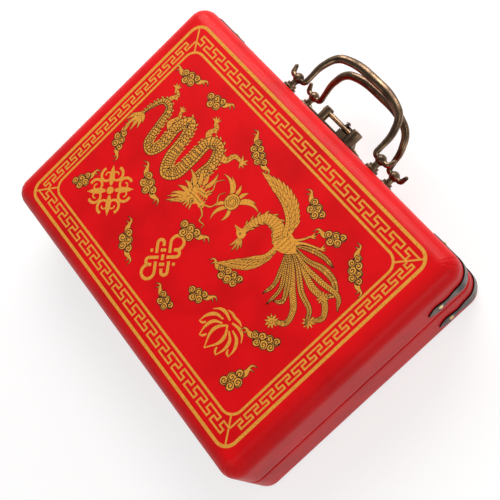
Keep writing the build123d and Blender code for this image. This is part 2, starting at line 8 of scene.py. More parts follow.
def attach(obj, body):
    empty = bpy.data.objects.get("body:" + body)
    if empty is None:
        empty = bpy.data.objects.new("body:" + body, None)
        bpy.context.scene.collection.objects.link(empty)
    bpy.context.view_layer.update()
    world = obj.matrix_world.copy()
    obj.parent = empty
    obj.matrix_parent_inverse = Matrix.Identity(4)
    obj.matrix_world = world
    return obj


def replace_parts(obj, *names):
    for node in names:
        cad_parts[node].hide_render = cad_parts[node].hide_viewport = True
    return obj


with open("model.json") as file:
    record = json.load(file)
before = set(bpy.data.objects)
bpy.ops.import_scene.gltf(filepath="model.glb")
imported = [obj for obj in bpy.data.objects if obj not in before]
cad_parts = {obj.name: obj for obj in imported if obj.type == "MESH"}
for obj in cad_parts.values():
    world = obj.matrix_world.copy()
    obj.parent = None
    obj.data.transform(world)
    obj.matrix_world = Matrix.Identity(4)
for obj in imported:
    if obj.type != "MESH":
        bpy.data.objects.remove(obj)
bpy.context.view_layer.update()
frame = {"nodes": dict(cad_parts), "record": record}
nodes = frame["nodes"]
mm = 0.001

# the photograph's view, the light and the floor
cameraView = {
    "location": (-0.39944, -0.08421, 0.73540),
    "turn": (17.986, 23.232, -128.578),  # degrees
    "lens": 75.6,
}
lamps = {
    # name: (place, aimed at, width, height, watts, colour)
    "keyBox": ((0.67, -0.78, 0.92), (0, -0.05, 0.06), 1.1, 0.5, 12.5, "#FFFAF8"),
    "edgeStrip": ((0.62, -1.03, 0.50), (0, -0.1, 0.07), 1.5, 0.06, 5.5, "#FFF8F6"),
    "topFill": ((-0.5, 0.8, 1.2), (0, 0, 0.03), 0.8, 0.8, 3.0, "#FFFFFF"),
    "ridgeStrip": ((-0.35, -0.55, 1.0), (0, -0.13, 0.05), 0.9, 0.08, 1.6, "#FFF3E4"),
    "sideFill": ((-1.3, -0.1, 0.5), (-0.1, 0.0, 0.03), 0.5, 0.5, 1.4, "#FFFFFF"),
}
room = {
    "horizon": 0.78,  # world radiance below the lower band
    "overhead": 0.16,  # and above the upper one
    "bands": (0.12, 0.8),  # upward share of a direction
    "worldColour": "#F6F7FA",
    "floorColour": "#A8A8A8",
    "floorLift": 0.68,  # glow of the paper in what the camera, metal and glass see
    "floorReach": 6.0,  # metres
    "floorDrop": 0.0002,  # keeps the paper clear of the case's underside
}


def linear(hexColour):
    # sRGB hex to the linear values that Blender's sockets take
    channels = [int(hexColour[i : i + 2], 16) / 255 for i in (1, 3, 5)]
    return (*[c / 12.92 if c <= 0.04045 else ((c + 0.055) / 1.055) ** 2.4 for c in channels], 1.0)


def addNode(tree, kind, settings=None, links=None):
    # one shader node, its settings by socket or attribute name, its links by socket
    node = tree.nodes.new("ShaderNode" + kind)
    for name, value in (settings or {}).items():
        if isinstance(name, int) or name in node.inputs:
            node.inputs[name].default_value = value
        else:
            setattr(node, name, value)
    for name, source in (links or {}).items():
        tree.links.new(source, node.inputs[name])
    return node


def startMaterial(name, settings):
    # a Principled material with these socket values, and the piece's own coordinates in metres
    material = bpy.data.materials.new(name)
    material.use_nodes = True
    tree = material.node_tree
    shader = tree.nodes["Principled BSDF"]
    for socket, value in settings.items():
        shader.inputs[socket].default_value = value
    place = addNode(tree, "TexCoord").outputs["Object"]
    return material, tree, shader, place


def grains(size):
    # texture scale that gives features of this many millimetres
    return 1000.0 / size


def makeCamera():
    lens = bpy.data.cameras.new("photoCamera")
    lens.lens = cameraView["lens"]
    lens.clip_start = 0.01
    camera = bpy.data.objects.new("photoCamera", lens)
    camera.location = cameraView["location"]
    camera.rotation_euler = Euler([radians(a) for a in cameraView["turn"]])
    bpy.context.collection.objects.link(camera)
    bpy.context.scene.camera = camera


def makeLamps():
    for name, (spot, target, width, height, watts, colour) in lamps.items():
        light = bpy.data.lights.new(name, "AREA")
        light.shape = "RECTANGLE"
        light.size, light.size_y = width, height
        light.energy = watts
        light.color = linear(colour)[:3]
        lamp = bpy.data.objects.new(name, light)
        lamp.location = spot
        lamp.rotation_euler = (Vector(target) - Vector(spot)).to_track_quat("-Z", "Y").to_euler()
        bpy.context.collection.objects.link(lamp)


def makeWorld():
    # a bright horizon that falls off to a dim ceiling
    lower, upper = room["bands"]
    world = bpy.data.worlds.new("studio")
    bpy.context.scene.world = world
    world.use_nodes = True
    tree = world.node_tree
    tree.nodes.clear()
    heading = addNode(tree, "TexCoord").outputs["Generated"]
    upward = addNode(tree, "SeparateXYZ", {}, {0: heading}).outputs["Z"]
    level = addNode(
        tree,
        "MapRange",
        {"From Min": lower, "From Max": upper, "To Min": room["horizon"], "To Max": room["overhead"]},
        {"Value": upward},
    )
    sky = addNode(tree, "Background", {"Color": linear(room["worldColour"])}, {"Strength": level.outputs[0]})
    addNode(tree, "OutputWorld", {}, {"Surface": sky.outputs[0]})


def makeFloor():
    # matte coated paper: even and pale, with no mirror image of the case
    material, tree, shader, _ = startMaterial(
        "matteWhitePaper",
        {
            "Base Color": linear(room["floorColour"]),
            "Roughness": 0.9,
            "Specular IOR Level": 0.1,
            "Emission Color": (1, 1, 1, 1),
        },
    )
    rays = addNode(tree, "LightPath").outputs
    seen = rays["Is Camera Ray"]
    for kind in ("Is Glossy Ray", "Is Transmission Ray"):
        seen = addNode(tree, "Math", {"operation": "MAXIMUM"}, {0: seen, 1: rays[kind]}).outputs[0]
    lift = addNode(tree, "Math", {"operation": "MULTIPLY", 1: room["floorLift"]}, {0: seen})
    tree.links.new(lift.outputs[0], shader.inputs["Emission Strength"])
    mesh = bpy.data.meshes.new("paperFloor")
    far = room["floorReach"]
    mesh.from_pydata([(-far, -far, 0), (far, -far, 0), (far, far, 0), (-far, far, 0)], [], [(0, 1, 2, 3)])
    mesh.materials.append(material)
    floor = bpy.data.objects.new("paperFloor", mesh)
    floor.location.z = -room["floorDrop"]
    bpy.context.collection.objects.link(floor)


bpy.context.scene.view_settings.view_transform = "Standard"
makeCamera()
makeLamps()
makeWorld()
makeFloor()
print("camera, lamps and floor made")


def twoTone(tree, place, dark, light, scale, low, high, stretch=(1, 1, 1), detail=3.0):
    # a colour that drifts between two tones; low and high set how hard the drift is
    shaped = addNode(tree, "Mapping", {"Scale": stretch}, {"Vector": place}).outputs[0]
    drift = addNode(tree, "TexNoise", {"Scale": grains(scale), "Detail": detail}, {"Vector": shaped})
    level = addNode(tree, "MapRange", {"From Min": low, "From Max": high}, {"Value": drift.outputs[0]})
    share = level.outputs[0]
    tint = addNode(tree, "Mix", {"data_type": "RGBA", 6: linear(dark), 7: linear(light)}, {0: share})
    return tint.outputs[2], share


def darkenHollows(tree, shader, tint, dark, reachMm, low, high):
    # the tint goes dark where other surfaces are near: painted shade on the cloth, patina on the castings;
    # low and high are shares of open view
    shade = addNode(tree, "AmbientOcclusion", {"samples": 6, "Distance": reachMm * mm}).outputs["AO"]
    bare = addNode(tree, "MapRange", {"From Min": low, "From Max": high}, {"Value": shade}).outputs[0]
    mixed = addNode(tree, "Mix", {"data_type": "RGBA", 6: linear(dark)}, {0: bare, 7: tint})
    tree.links.new(mixed.outputs[2], shader.inputs["Base Color"])


def addBump(tree, shader, height, strength, distance):
    bump = addNode(tree, "Bump", {"Strength": strength, "Distance": distance}, {"Height": height})
    tree.links.new(bump.outputs[0], shader.inputs["Normal"])


def leathercloth():
    # PU leathercloth, embossed and lacquered: saturated red, soft sheen, fine pebble grain
    look = {
        "face": "#DE0A12",
        "deep": "#C6060C",
        # colour of the painted shade in the seam, in folds and round fittings
        "crease": "#2C0203",
        "grainMm": 0.9,
        "blotchMm": 34.0,
        "paintedShadeMm": 1.8,  # how far the painted shade of a seam or a fold reaches
    }
    material, tree, shader, place = startMaterial(
        "redLacqueredLeathercloth",
        {"Roughness": 0.42, "Specular IOR Level": 0.12, "Coat Weight": 0.08, "Coat Roughness": 0.2},
    )
    tint, _ = twoTone(tree, place, look["deep"], look["face"], look["blotchMm"], 0.25, 0.6)
    # painted shade: the red goes near-black in the seam, in folds and round parts that meet the cloth
    darkenHollows(tree, shader, tint, look["crease"], look["paintedShadeMm"], 0.35, 0.72)
    pebble = addNode(
        tree, "TexVoronoi", {"Scale": grains(look["grainMm"]), "Randomness": 0.9}, {"Vector": place}
    )
    addBump(tree, shader, pebble.outputs["Distance"], 0.4, 0.00012)
    return material


castSkin = {
    "hollowMm": 3.0,  # how far the dark of a hollow reaches
    "rippleMm": 2.4,  # coarser than a real casting's skin, so that it shows
    "duller": 0.12,  # roughness that the dark patina adds
    "brighter": 0.04,  # and that rubbing takes away
}


def bronze(name, hollow, dark, warm, patchMm, roughness):
    # plated zinc casting, patinated: near-black in hollows, warm and brighter where rubbed
    material, tree, shader, place = startMaterial(name, {"Metallic": 1.0, "Roughness": roughness})
    tint, share = twoTone(tree, place, dark, warm, patchMm, 0.36, 0.64)
    darkenHollows(tree, shader, tint, hollow, castSkin["hollowMm"], 0.25, 0.8)
    dull, bright = roughness + castSkin["duller"], roughness - castSkin["brighter"]
    rough = addNode(tree, "MapRange", {"To Min": dull, "To Max": bright}, {"Value": share})
    tree.links.new(rough.outputs[0], shader.inputs["Roughness"])
    cast = addNode(
        tree, "TexNoise", {"Scale": grains(castSkin["rippleMm"]), "Detail": 1.0}, {"Vector": place}
    )
    addBump(tree, shader, cast.outputs[0], 0.04, 0.0001)
    return material


def wood(name, dark, light, grainMm, roughness, coat):
    # planed board under a satin coat: fine streaks of grain along X, 14 times as long as wide
    material, tree, shader, place = startMaterial(
        name, {"Roughness": roughness, "Coat Weight": coat, "Coat Roughness": 0.25}
    )
    tint, share = twoTone(tree, place, dark, light, grainMm, 0.3, 0.7, (1 / 14, 1, 1), 5.0)
    tree.links.new(tint, shader.inputs["Base Color"])
    addBump(tree, shader, share, 0.2, 0.0002)
    return material


def flock():
    # flocked rayon lining: short upright fibres, dull with a soft sheen at a glance
    material, tree, shader, place = startMaterial(
        "redFlockedLining",
        {"Roughness": 0.95, "Sheen Weight": 0.7, "Sheen Roughness": 0.4, "Specular IOR Level": 0.1},
    )
    tint, _ = twoTone(tree, place, "#6E0710", "#8E0E18", 18.0, 0.3, 0.7)
    tree.links.new(tint, shader.inputs["Base Color"])
    fibre = addNode(tree, "TexNoise", {"Scale": grains(0.5), "Detail": 2.0}, {"Vector": place})
    addBump(tree, shader, fibre.outputs[0], 0.5, 0.0002)
    return material


materials = {
    "red_leathercloth": leathercloth(),
    "antique_bronze": bronze("antiqueBronze", "#120D0A", "#4E3F33", "#8C735A", 12.0, 0.24),
    "strap_bronze": bronze("darkStrapBronze", "#0E0D0C", "#2A2723", "#4C463E", 9.0, 0.3),
    "pale_brass": bronze("palePolishedBrass", "#8A6C3C", "#CDB07A", "#EAD5A6", 6.0, 0.22),
    "dark_wood": wood("redStainedPaulownia", "#3E120C", "#5C2014", 2.6, 0.4, 0.4),
    "pale_wood": wood("satinPoplar", "#B28A5E", "#D2AE80", 2.2, 0.55, 0.1),
    "red_flock": flock(),
}


def ink(name, colour, settings, mottleMm, mottle):
    # screen-printed ink: matte and flat, a little mottled where the cloth's pebbles show through
    material, tree, shader, place = startMaterial(name, settings)
    tint, _ = twoTone(tree, place, mottle, colour, mottleMm, 0.3, 0.62)
    tree.links.new(tint, shader.inputs["Base Color"])
    return material


printInks = {
    "gold": ink("goldScreenInk", "#E4A03E", {"Roughness": 0.5, "Specular IOR Level": 0.15}, 1.8, "#CC8A30"),
    "black": ink("blackScreenInk", "#2E1C10", {"Roughness": 0.55, "Specular IOR Level": 0.2}, 1.6, "#170E08"),
}
print("materials made")


# mesh helpers, in millimetres of the shared frame
def makePiece(name, points, faces, slotName, body, material=None, smooth=True):
    mesh = bpy.data.meshes.new(name)
    mesh.from_pydata([(x * mm, y * mm, z * mm) for x, y, z in points], [], faces)
    mesh.polygons.foreach_set("use_smooth", [smooth] * len(mesh.polygons))
    mesh.materials.append(material or materials[slotName])
    piece = bpy.data.objects.new(name, mesh)
    bpy.context.collection.objects.link(piece)
    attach(piece, body)
    return piece


def ringFaces(rings, perRing):
    # quads between following rings of points, and a face over each end
    faces = []
    for ring in range(rings - 1):
        for i in range(perRing):
            a, b = ring * perRing + i, ring * perRing + (i + 1) % perRing
            faces.append((a, b, b + perRing, a + perRing))
    faces.append(tuple(reversed(range(perRing))))
    faces.append(tuple(range((rings - 1) * perRing, rings * perRing)))
    return faces


def arcProfile(inset, z, radius, first, last, steps):
    # (inset, z, outward, upward) along an arc seen in the wall's section
    spots = []
    for i in range(steps + 1):
        a = radians(first + (last - first) * i / steps)
        spots.append((inset - radius * cos(a), z + radius * sin(a), cos(a), sin(a)))
    return spots


# case halves: board shells wrapped in leathercloth
caseSizes = {
    "half": (158.0, 110.0),
    "corner": 14.0,
    "leastCorner": 0.15,
    "wall": 5.0,
    "lidTop": 73.75,  # the print fills the last quarter millimetre
    "lidRim": 33.75,
    "baseRim": 32.25,
    "lidEdge": 13.8,
    "baseEdge": 5.0,
    "fold": 1.3,  # radius of the cloth where it turns in at the seam
    "turnIn": 0.4,
    "lidCeiling": 69.0,
    "baseFloor": 4.0,
    "topRings": (60, 36, 22, 16),  # distances in from the sides
    "underRings": (60, 20),
    "cornerSteps": 28,
    "longSteps": 56,
    "shortSteps": 40,
    "edgeSteps": 22,
}
clothSizes = {
    "waver": 0.10,  # how deep the cloth sinks between its high spots
    "waverMm": 26.0,
    "pleat": 0.34,
    "pleatsAt": (0.2, 0.5, 0.8),  # shares of the way round a corner
    "pleatWidth": 0.05,
}


def caseLoop(inset):
    # one loop round the case: (x, y, outward x, outward y, place in the corner or None)
    halfX, halfY = (h - inset for h in caseSizes["half"])
    radius = max(caseSizes["corner"] - inset, caseSizes["leastCorner"])
    signs = ((1, 1), (-1, 1), (-1, -1), (1, -1))
    centres = [(sx * (halfX - radius), sy * (halfY - radius)) for sx, sy in signs]
    steps = caseSizes["cornerSteps"]
    spots = []
    for k, (cx, cy) in enumerate(centres):
        for j in range(steps + 1):
            a = pi / 2 * (k + j / steps)
            spots.append((cx + radius * cos(a), cy + radius * sin(a), cos(a), sin(a), j / steps))
        nx, ny = cos(pi / 2 * (k + 1)), sin(pi / 2 * (k + 1))
        nextX, nextY = centres[(k + 1) % 4]
        run = caseSizes["longSteps"] if k % 2 == 0 else caseSizes["shortSteps"]
        for j in range(1, run):
            t = j / run
            x, y = cx + (nextX - cx) * t, cy + (nextY - cy) * t
            spots.append((x + nx * radius, y + ny * radius, nx, ny, None))
    return spots


def shell(name, profile, body, node):
    # the profile swept round the case; drape is how much the cloth wavers there, over 1 it pleats
    points = []
    for inset, z, outward, upward, drape in profile:
        for x, y, nx, ny, corner in caseLoop(inset):
            waver = noise.noise(Vector((x, y, z)) / clothSizes["waverMm"])
            sink = clothSizes["waver"] * (0.5 + 0.5 * waver) * min(drape, 1)
            if corner is not None and drape > 1:
                for at in clothSizes["pleatsAt"]:
                    fold = 1 - abs(corner - at) / clothSizes["pleatWidth"]
                    if fold > 0:
                        sink += clothSizes["pleat"] * (drape - 1) * fold * fold * (3 - 2 * fold)
            points.append((x - nx * outward * sink, y - ny * outward * sink, z - upward * sink))
    faces = ringFaces(len(profile), len(points) // len(profile))
    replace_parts(makePiece(name, points, faces, "red_leathercloth", body), node)


def lidProfile():
    s = caseSizes
    top, edge, fold, rim, wall = (s[key] for key in ("lidTop", "lidEdge", "fold", "lidRim", "wall"))
    bend, steps, turnIn = top - edge, s["edgeSteps"], s["turnIn"]
    profile = [(inset, top, 0, 1, 0) for inset in s["topRings"]]
    for i, spot in enumerate(arcProfile(edge, bend, edge, 90, 0, steps)):
        pleat = sin(pi * i / steps) ** 0.7 if 0 < i < steps else 0
        profile.append((*spot, min(i / steps * 3, 1) + pleat))
    for i in range(1, 8):
        profile.append((0, bend + (rim + fold - bend) * i / 8, 1, 0, 1))
    profile += [(*spot, 0.4) for spot in arcProfile(fold, rim + fold, fold, 0, -90, 5)]
    profile += [(wall - turnIn, rim, 0, -1, 0), (wall, rim + turnIn, -1, 0, 0)]
    inside = edge - wall
    profile += [(*spot, 0) for spot in arcProfile(edge, s["lidCeiling"] - inside, inside, 0, 90, 8)]
    profile.append((s["topRings"][0], s["lidCeiling"], 0, -1, 0))
    return profile


def baseProfile():
    s = caseSizes
    edge, fold, rim, wall = (s[key] for key in ("baseEdge", "fold", "baseRim", "wall"))
    floor, turnIn = s["baseFloor"], s["turnIn"]
    profile = [(inset, 0, 0, -1, 0) for inset in s["underRings"]]
    profile += [(*spot, 0.5) for spot in arcProfile(edge, edge, edge, -90, 0, 10)]
    for i in range(1, 6):
        profile.append((0, edge + (rim - fold - edge) * i / 6, 1, 0, 1))
    profile += [(*spot, 0.4) for spot in arcProfile(fold, rim - fold, fold, 0, 90, 5)]
    profile += [(wall - turnIn, rim, 0, 1, 0), (wall, rim - turnIn, -1, 0, 0)]
    profile += [(wall, floor, -1, 0, 0), (s["underRings"][0], floor, 0, 1, 0)]
    return profile


shell("lidCloth", lidProfile(), "lid", "lid_shell")
shell("baseCloth", baseProfile(), "base", "base_shell")
print("case halves made")


# bail handles: cast bars that swell towards the grip
bailSizes = {
    "route": ((59.0, 5.7), (57.2, 0), (42.6, 0), (42.6, 17.0), (37.2, 32.0), (19.0, 38.3)),
    "bends": (2.8, 3.0, 24.0, 16.0, 60.0),
    "step": 0.8,
    "elbow": 27.0,  # along the bar, from a tail's tip to where the arm starts
    "arm": (4.8, 4.5),  # across the bail's plane, and through it
    "grip": (7.6, 5.6),
    "swell": 0.75,
    "flatter": 0.9,  # the bar's inner side against its outer side
    "tail": (4.4, 3.3),  # at the bend and at the tip
    "tailRun": 5.0,  # from the tip to the tail's full width
    "neck": (12.0, 8.0),  # where the tail thickens to the arm, and over what length
    "tipRings": (0.97, 0.8, 0.45),  # rings of a rounded end, as shares of its radius
    "pivotY": -120.5,
    "lid": (54.0, 5.0),  # pivot height, tilt above level
    "base": (19.0, 24.0),
    "sides": 24,
}


def roundedRoute(corners, bends, step):
    # a flat run of points through the corners, each rounded by its bend radius
    points = [Vector(corners[0])]
    for i in range(1, len(corners) - 1):
        before, corner, after = (Vector(corners[i + k]) for k in (-1, 0, 1))
        a, b = (before - corner).normalized(), (after - corner).normalized()
        half = acos(max(-1, min(1, a.dot(b)))) / 2
        reach = bends[i - 1] / tan(half)
        centre = corner + (a + b).normalized() * bends[i - 1] / sin(half)
        start, end = corner + a * reach - centre, corner + b * reach - centre
        sweep = pi - 2 * half
        count = max(3, round(bends[i - 1] * sweep / step))
        for j in range(count + 1):
            share = j / count
            points.append(
                centre + (start * sin((1 - share) * sweep) + end * sin(share * sweep)) / sin(sweep)
            )
    points.append(Vector(corners[-1]))
    even = [points[0]]
    for near, far in zip(points, points[1:]):
        parts = max(1, round((far - near).length / step))
        even += [near + (far - near) * k / parts for k in range(1, parts + 1)]
    return [p for p, q in zip(even, even[1:] + [Vector((9e9, 0))]) if (p - q).length > 1e-4]


def barSize(walked, total):
    # the bar's width and depth, this far along it
    s = bailSizes
    share = (walked - s["elbow"]) / (total - 2 * s["elbow"])
    if 0 < share < 1:
        swell = sin(pi * share) ** s["swell"]
        return [arm + (grip - arm) * swell for arm, grip in zip(s["arm"], s["grip"])]
    fromTip = min(walked, total - walked)
    (root, tip), (neckStart, neckRun) = s["tail"], s["neck"]
    width = tip + (root - tip) * min(1, fromTip / s["tailRun"])
    width += (s["arm"][0] - root) * min(1, max(0, (fromTip - neckStart) / neckRun))
    return width, width


def bail(name, body, half):
    s = bailSizes
    mirrored = [(-x, reach) for x, reach in reversed(s["route"])]
    route = roundedRoute(s["route"] + tuple(mirrored), s["bends"] + s["bends"][::-1], s["step"])
    lengths = [0.0]
    for near, far in zip(route, route[1:]):
        lengths.append(lengths[-1] + (far - near).length)
    pivotZ, tilt = s[half][0], radians(s[half][1])
    up = Vector((0, sin(tilt), cos(tilt)))
    points = []

    def ring(spot, heading, width, depth):
        side = Vector((-heading.y, heading.x))
        for i in range(s["sides"]):
            a = 2 * pi * i / s["sides"]
            offset = side * cos(a) * width / 2
            lift = sin(a) * depth / 2 * (1.0 if sin(a) > 0 else s["flatter"])
            reach = spot.y + offset.y
            y, z = s["pivotY"] - reach * cos(tilt), pivotZ + reach * sin(tilt)
            points.append((spot.x + offset.x, y + up.y * lift, z + up.z * lift))

    def roundEnd(spot, heading, width, depth, insets):
        for inset in insets:
            shrink = (1 - inset**2) ** 0.5
            ring(spot + heading * inset * width / 2, heading, width * shrink, depth * shrink)

    for i, spot in enumerate(route):
        heading = (route[min(i + 1, len(route) - 1)] - route[max(i - 1, 0)]).normalized()
        size = barSize(lengths[i], lengths[-1])
        if i == 0:
            roundEnd(spot, heading, *size, [-inset for inset in s["tipRings"]])
        ring(spot, heading, *size)
        if i == len(route) - 1:
            roundEnd(spot, heading, *size, reversed(s["tipRings"]))
    faces = ringFaces(len(points) // s["sides"], s["sides"])
    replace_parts(makePiece(name, points, faces, "antique_bronze", body), body)


bail("lidBail", "lid_handle", "lid")
bail("baseBail", "base_handle", "base")
print("bail handles made")


# print on the lid: gold ink with black line work, as thin slabs that lie on the cloth
printHeights = {
    "sunk": 73.70,
    "first": 73.765,
    "layer": 0.0022,
    "apart": 0.0007,  # between slabs of one layer that are laid one after another
    "ripple": 0.00042,  # along one slab, where it folds over itself in a tight bend
}
inkMeshes = {"gold": ([], []), "black": ([], [])}  # points and faces
laid = {"slabs": 0}


def inkTop(layer):
    laid["slabs"] += 1
    return printHeights["first"] + printHeights["layer"] * layer + printHeights["apart"] * (laid["slabs"] % 3)


def stroke(ink, line, width, layer, closed=False):
    # a slab along a line, of one width or of one for each point, mitred at its corners
    points, faces = inkMeshes[ink]
    start, count = len(points), len(line)
    top, low = inkTop(layer), printHeights["sunk"]
    widths = width if isinstance(width, list) else [width] * count
    for i, spot in enumerate(line):
        come = spot - line[i - 1] if i or closed else line[1] - spot
        go = line[(i + 1) % count] - spot if i < count - 1 or closed else come
        come, go = come.normalized(), go.normalized()
        along = (come + go).normalized()
        side = Vector((-along.y, along.x)) * widths[i] / 2 / max(0.5, along.dot(go))
        left, right, high = spot + side, spot - side, top + printHeights["ripple"] * (i % 2)
        points += [(*left, high), (*right, high), (*right, low), (*left, low)]
    for i in range(count if closed else count - 1):
        a, b = start + 4 * i, start + 4 * ((i + 1) % count)
        faces += [(a + k, a + (k + 1) % 4, b + (k + 1) % 4, b + k) for k in range(4)]
    if not closed:
        end = start + 4 * (count - 1)
        faces += [(start + 3, start + 2, start + 1, start), (end, end + 1, end + 2, end + 3)]


def smoothLine(corners, perSpan=6):
    # a soft curve through the points
    spots = [Vector(c) for c in corners]
    ends = [2 * spots[0] - spots[1]] + spots + [2 * spots[-1] - spots[-2]]
    line = []
    for a, b, c, d in zip(ends, ends[1:], ends[2:], ends[3:]):
        square, cube = 2 * a - 5 * b + 4 * c - d, 3 * b - a - 3 * c + d
        for k in range(perSpan):
            t = k / perSpan
            line.append(0.5 * (2 * b + (c - a) * t + square * t * t + cube * t**3))
    return line + [spots[-1]]


def widthsAlong(line, spots):
    # widths read off between (share of the way, width) pairs, with soft steps
    found = []
    for i in range(len(line)):
        t = i / (len(line) - 1)
        for (t0, w0), (t1, w1) in zip(spots, spots[1:]):
            if t <= t1:
                k = (t - t0) / (t1 - t0)
                found.append(w0 + (w1 - w0) * k * k * (3 - 2 * k))
                break
    return found


def inked(line, widths, layer, edge=0.38):
    # a gold shape with a black outline
    first = line[0] - (line[1] - line[0]).normalized() * edge
    last = line[-1] + (line[-1] - line[-2]).normalized() * edge
    outer = [widths[0] * 0.6 + edge, *[w + 2 * edge for w in widths], widths[-1] * 0.6 + edge]
    stroke("black", [first, *line, last], outer, layer)
    stroke("gold", line, widths, layer + 1)


def degreesOf(direction):
    return atan2(direction.y, direction.x) * 180 / pi


def towards(angle):
    return Vector((cos(radians(angle)), sin(radians(angle))))


def leafLine(base, angle, length, bend, count=9):
    # a curved run from its base; bend is the turn from base to tip, in degrees
    line, spot = [Vector(base)], Vector(base)
    for i in range(count - 1):
        spot = spot + towards(angle + bend * (i / (count - 2) - 0.5)) * length / (count - 1)
        line.append(spot)
    return line


def leaf(base, angle, length, width, bend, layer, full=0.7, vein=0.0, edge=0.25):
    # feather, flame or petal: pointed at its tip; full moves its widest place to the tip
    line = leafLine(base, angle, length, bend)
    shares = [0.12 + 0.88 * i / (len(line) - 1) for i in range(len(line))]
    widths = [max(0.12, width * sin(pi * share**full)) for share in shares]
    if edge:
        inked(line, widths, layer, edge)
    else:
        stroke("gold", line, widths, layer)
    if vein:
        stroke("black", line[1:-1], vein, layer + 1.5)


def spiral(centre, start, turn, radius, finish, steps=16):
    # from the rim in to a small radius; angles in degrees
    line = []
    for i in range(steps + 1):
        t = i / steps
        line.append(Vector(centre) + towards(start + turn * t) * (radius + (finish - radius) * t))
    return line


def slab(ink, outline, layer):
    points, faces = inkMeshes[ink]
    start, count = len(points), len(outline)
    for z in (inkTop(layer), printHeights["sunk"]):
        points += [(*spot, z) for spot in outline]
    faces.append(tuple(start + i for i in range(count)))
    faces.append(tuple(start + count + i for i in reversed(range(count))))
    for i in range(count):
        j = (i + 1) % count
        faces.append((start + i, start + count + i, start + count + j, start + j))


def disc(ink, centre, radius, layer, sides=20):
    turns = [2 * pi * i / sides for i in range(sides)]
    slab(ink, [(centre[0] + radius * cos(a), centre[1] + radius * sin(a)) for a in turns], layer)


def patch(outline, layer, edge=0.4):
    # a filled shape with a soft outline, such as a head or a body
    line = smoothLine([*outline, outline[0]], 5)[:-1]
    for ink, grow, up in (("black", edge, 0), ("gold", 0, 1)):
        grown = []
        for i, spot in enumerate(line):
            along = (line[(i + 1) % len(line)] - line[i - 1]).normalized()
            grown.append(spot + Vector((along.y, -along.x)) * grow)
        slab(ink, grown, layer + up)


# border: two lines and a running key fret between them
border = {
    "outer": (140.0, 96.6),
    "inner": (125.9, 79.5),
    "line": 2.5,
    "innerLine": 1.9,
    "corner": 10.5,
    "cornerSteps": 12,
    "fretLine": 1.35,
    "fretShift": 0.14,  # centres the run of keys, as a share of one key
    "mitreGap": 0.9,
    "long": {"units": 18, "pitch": 16.67, "near": 5.8, "height": 7.3},
    "short": {"units": 14, "pitch": 15.0, "near": 4.3, "height": 6.0},
}


def frameLine(halfX, halfY, radius, width):
    line = []
    for k, (sx, sy) in enumerate(((1, 1), (-1, 1), (-1, -1), (1, -1))):
        centre = Vector((sx * (halfX - radius), sy * (halfY - radius)))
        for j in range(border["cornerSteps"] + 1):
            a = pi / 2 * (k + j / border["cornerSteps"])
            line.append(centre + Vector((cos(a), sin(a))) * radius)
    stroke("gold", line, width, 0, closed=True)


def clipped(line, room):
    # the runs of a line where room(point) isn't negative
    runs, run = [], []
    for near, far in zip(line, line[1:]):
        a, b = room(near), room(far)
        if a >= 0 and not run:
            run = [near]
        if a * b < 0:
            cut = near + (far - near) * a / (a - b)
            run.append(cut)
            if b < 0:
                runs.append(run)
                run = []
        if b >= 0:
            run.append(far)
    return runs + [run] if len(run) > 1 else runs


def fretSide(side, size):
    # side 0 is the front long side, each next one is a quarter turn on; the ends are mitred
    pitch, high, count = size["pitch"], size["height"], size["units"]
    halfX, halfY = border["outer"]
    alongHalf, edgeDistance = (halfY, halfX) if side % 2 else (halfX, halfY)
    widthX, widthY = halfX - border["inner"][0], halfY - border["inner"][1]
    slope = widthX / widthY if side % 2 == 0 else widthY / widthX
    key = ((0, 0), (0.77, 0), (0.77, 0.45), (0.5, 0.45), (0.5, 1), (1.27, 1), (1.27, 0.55), (1, 0.55))
    line = []
    for k in range(count):
        for x, y in key:
            along = (k + x - count / 2 - border["fretShift"]) * pitch
            line.append(Vector((along, y * high + size["near"])))
    turn = Matrix.Rotation(pi / 2 * side, 2)
    runs = clipped(line, lambda p: alongHalf - abs(p.x) - slope * p.y - border["mitreGap"])
    run = max(runs, key=len)
    stroke("gold", [turn @ (p - Vector((0, edgeDistance))) for p in run], border["fretLine"], 0)


for halves, width in ((border["outer"], border["line"]), (border["inner"], border["innerLine"])):
    frameLine(*halves, border["corner"], width)
rounding = border["corner"] * (1 - 0.5**0.5)  # what a rounded corner takes off its square
for side, (sx, sy) in enumerate(((1, 1), (1, -1), (-1, -1), (-1, 1))):
    fretSide(side, border["short" if side % 2 else "long"])
    mitre = [
        Vector((sx * (halves[0] - rounding), sy * (halves[1] - rounding)))
        for halves in (border["outer"], border["inner"])
    ]
    stroke("gold", mitre, border["fretLine"], 0.4)


# clouds: two rows of curled lobes, with a wisp at one end or both
clouds = [
    # (centre, lobes in the long row, lobe radius, lean in degrees, wisps: 1 right, -1 left, 0 both)
    ((-105, 61), 3, 4.7, 68, -1), ((-21, 65), 3, 3.9, -6, 1), ((41, 60), 3, 4.6, -38, 0),
    ((111, 58), 3, 4.2, 62, -1), ((-36, 43), 3, 4.1, 24, -1), ((-100, 26), 4, 4.3, 28, 1),
    ((-43, 16), 4, 4.3, 14, 1), ((8, 18), 3, 4.8, 12, -1), ((64, 19), 3, 4.8, -22, 0),
    ((114, 14), 3, 4.2, -58, 0), ((-108, -54), 4, 4.0, -40, 0), ((-80, -58), 3, 4.1, 30, 1),
    ((-53, -62), 3, 4.2, -12, 1), ((14, -59.5), 4, 4.1, -24, 0), ((75, -62), 3, 4.4, 16, -1),
    ((108, -60), 3, 4.4, 14, 0),
]
cloudShape = {
    "edge": 0.62,
    "curl": 0.66,
    "pitch": 1.35,  # between lobes, in lobe radii
    "lobe": 0.74,
    "turn": 470,  # degrees that a curl turns through
    "wisps": ((0.5, 2.9), (0.1, 2.2)),  # drop and reach
}


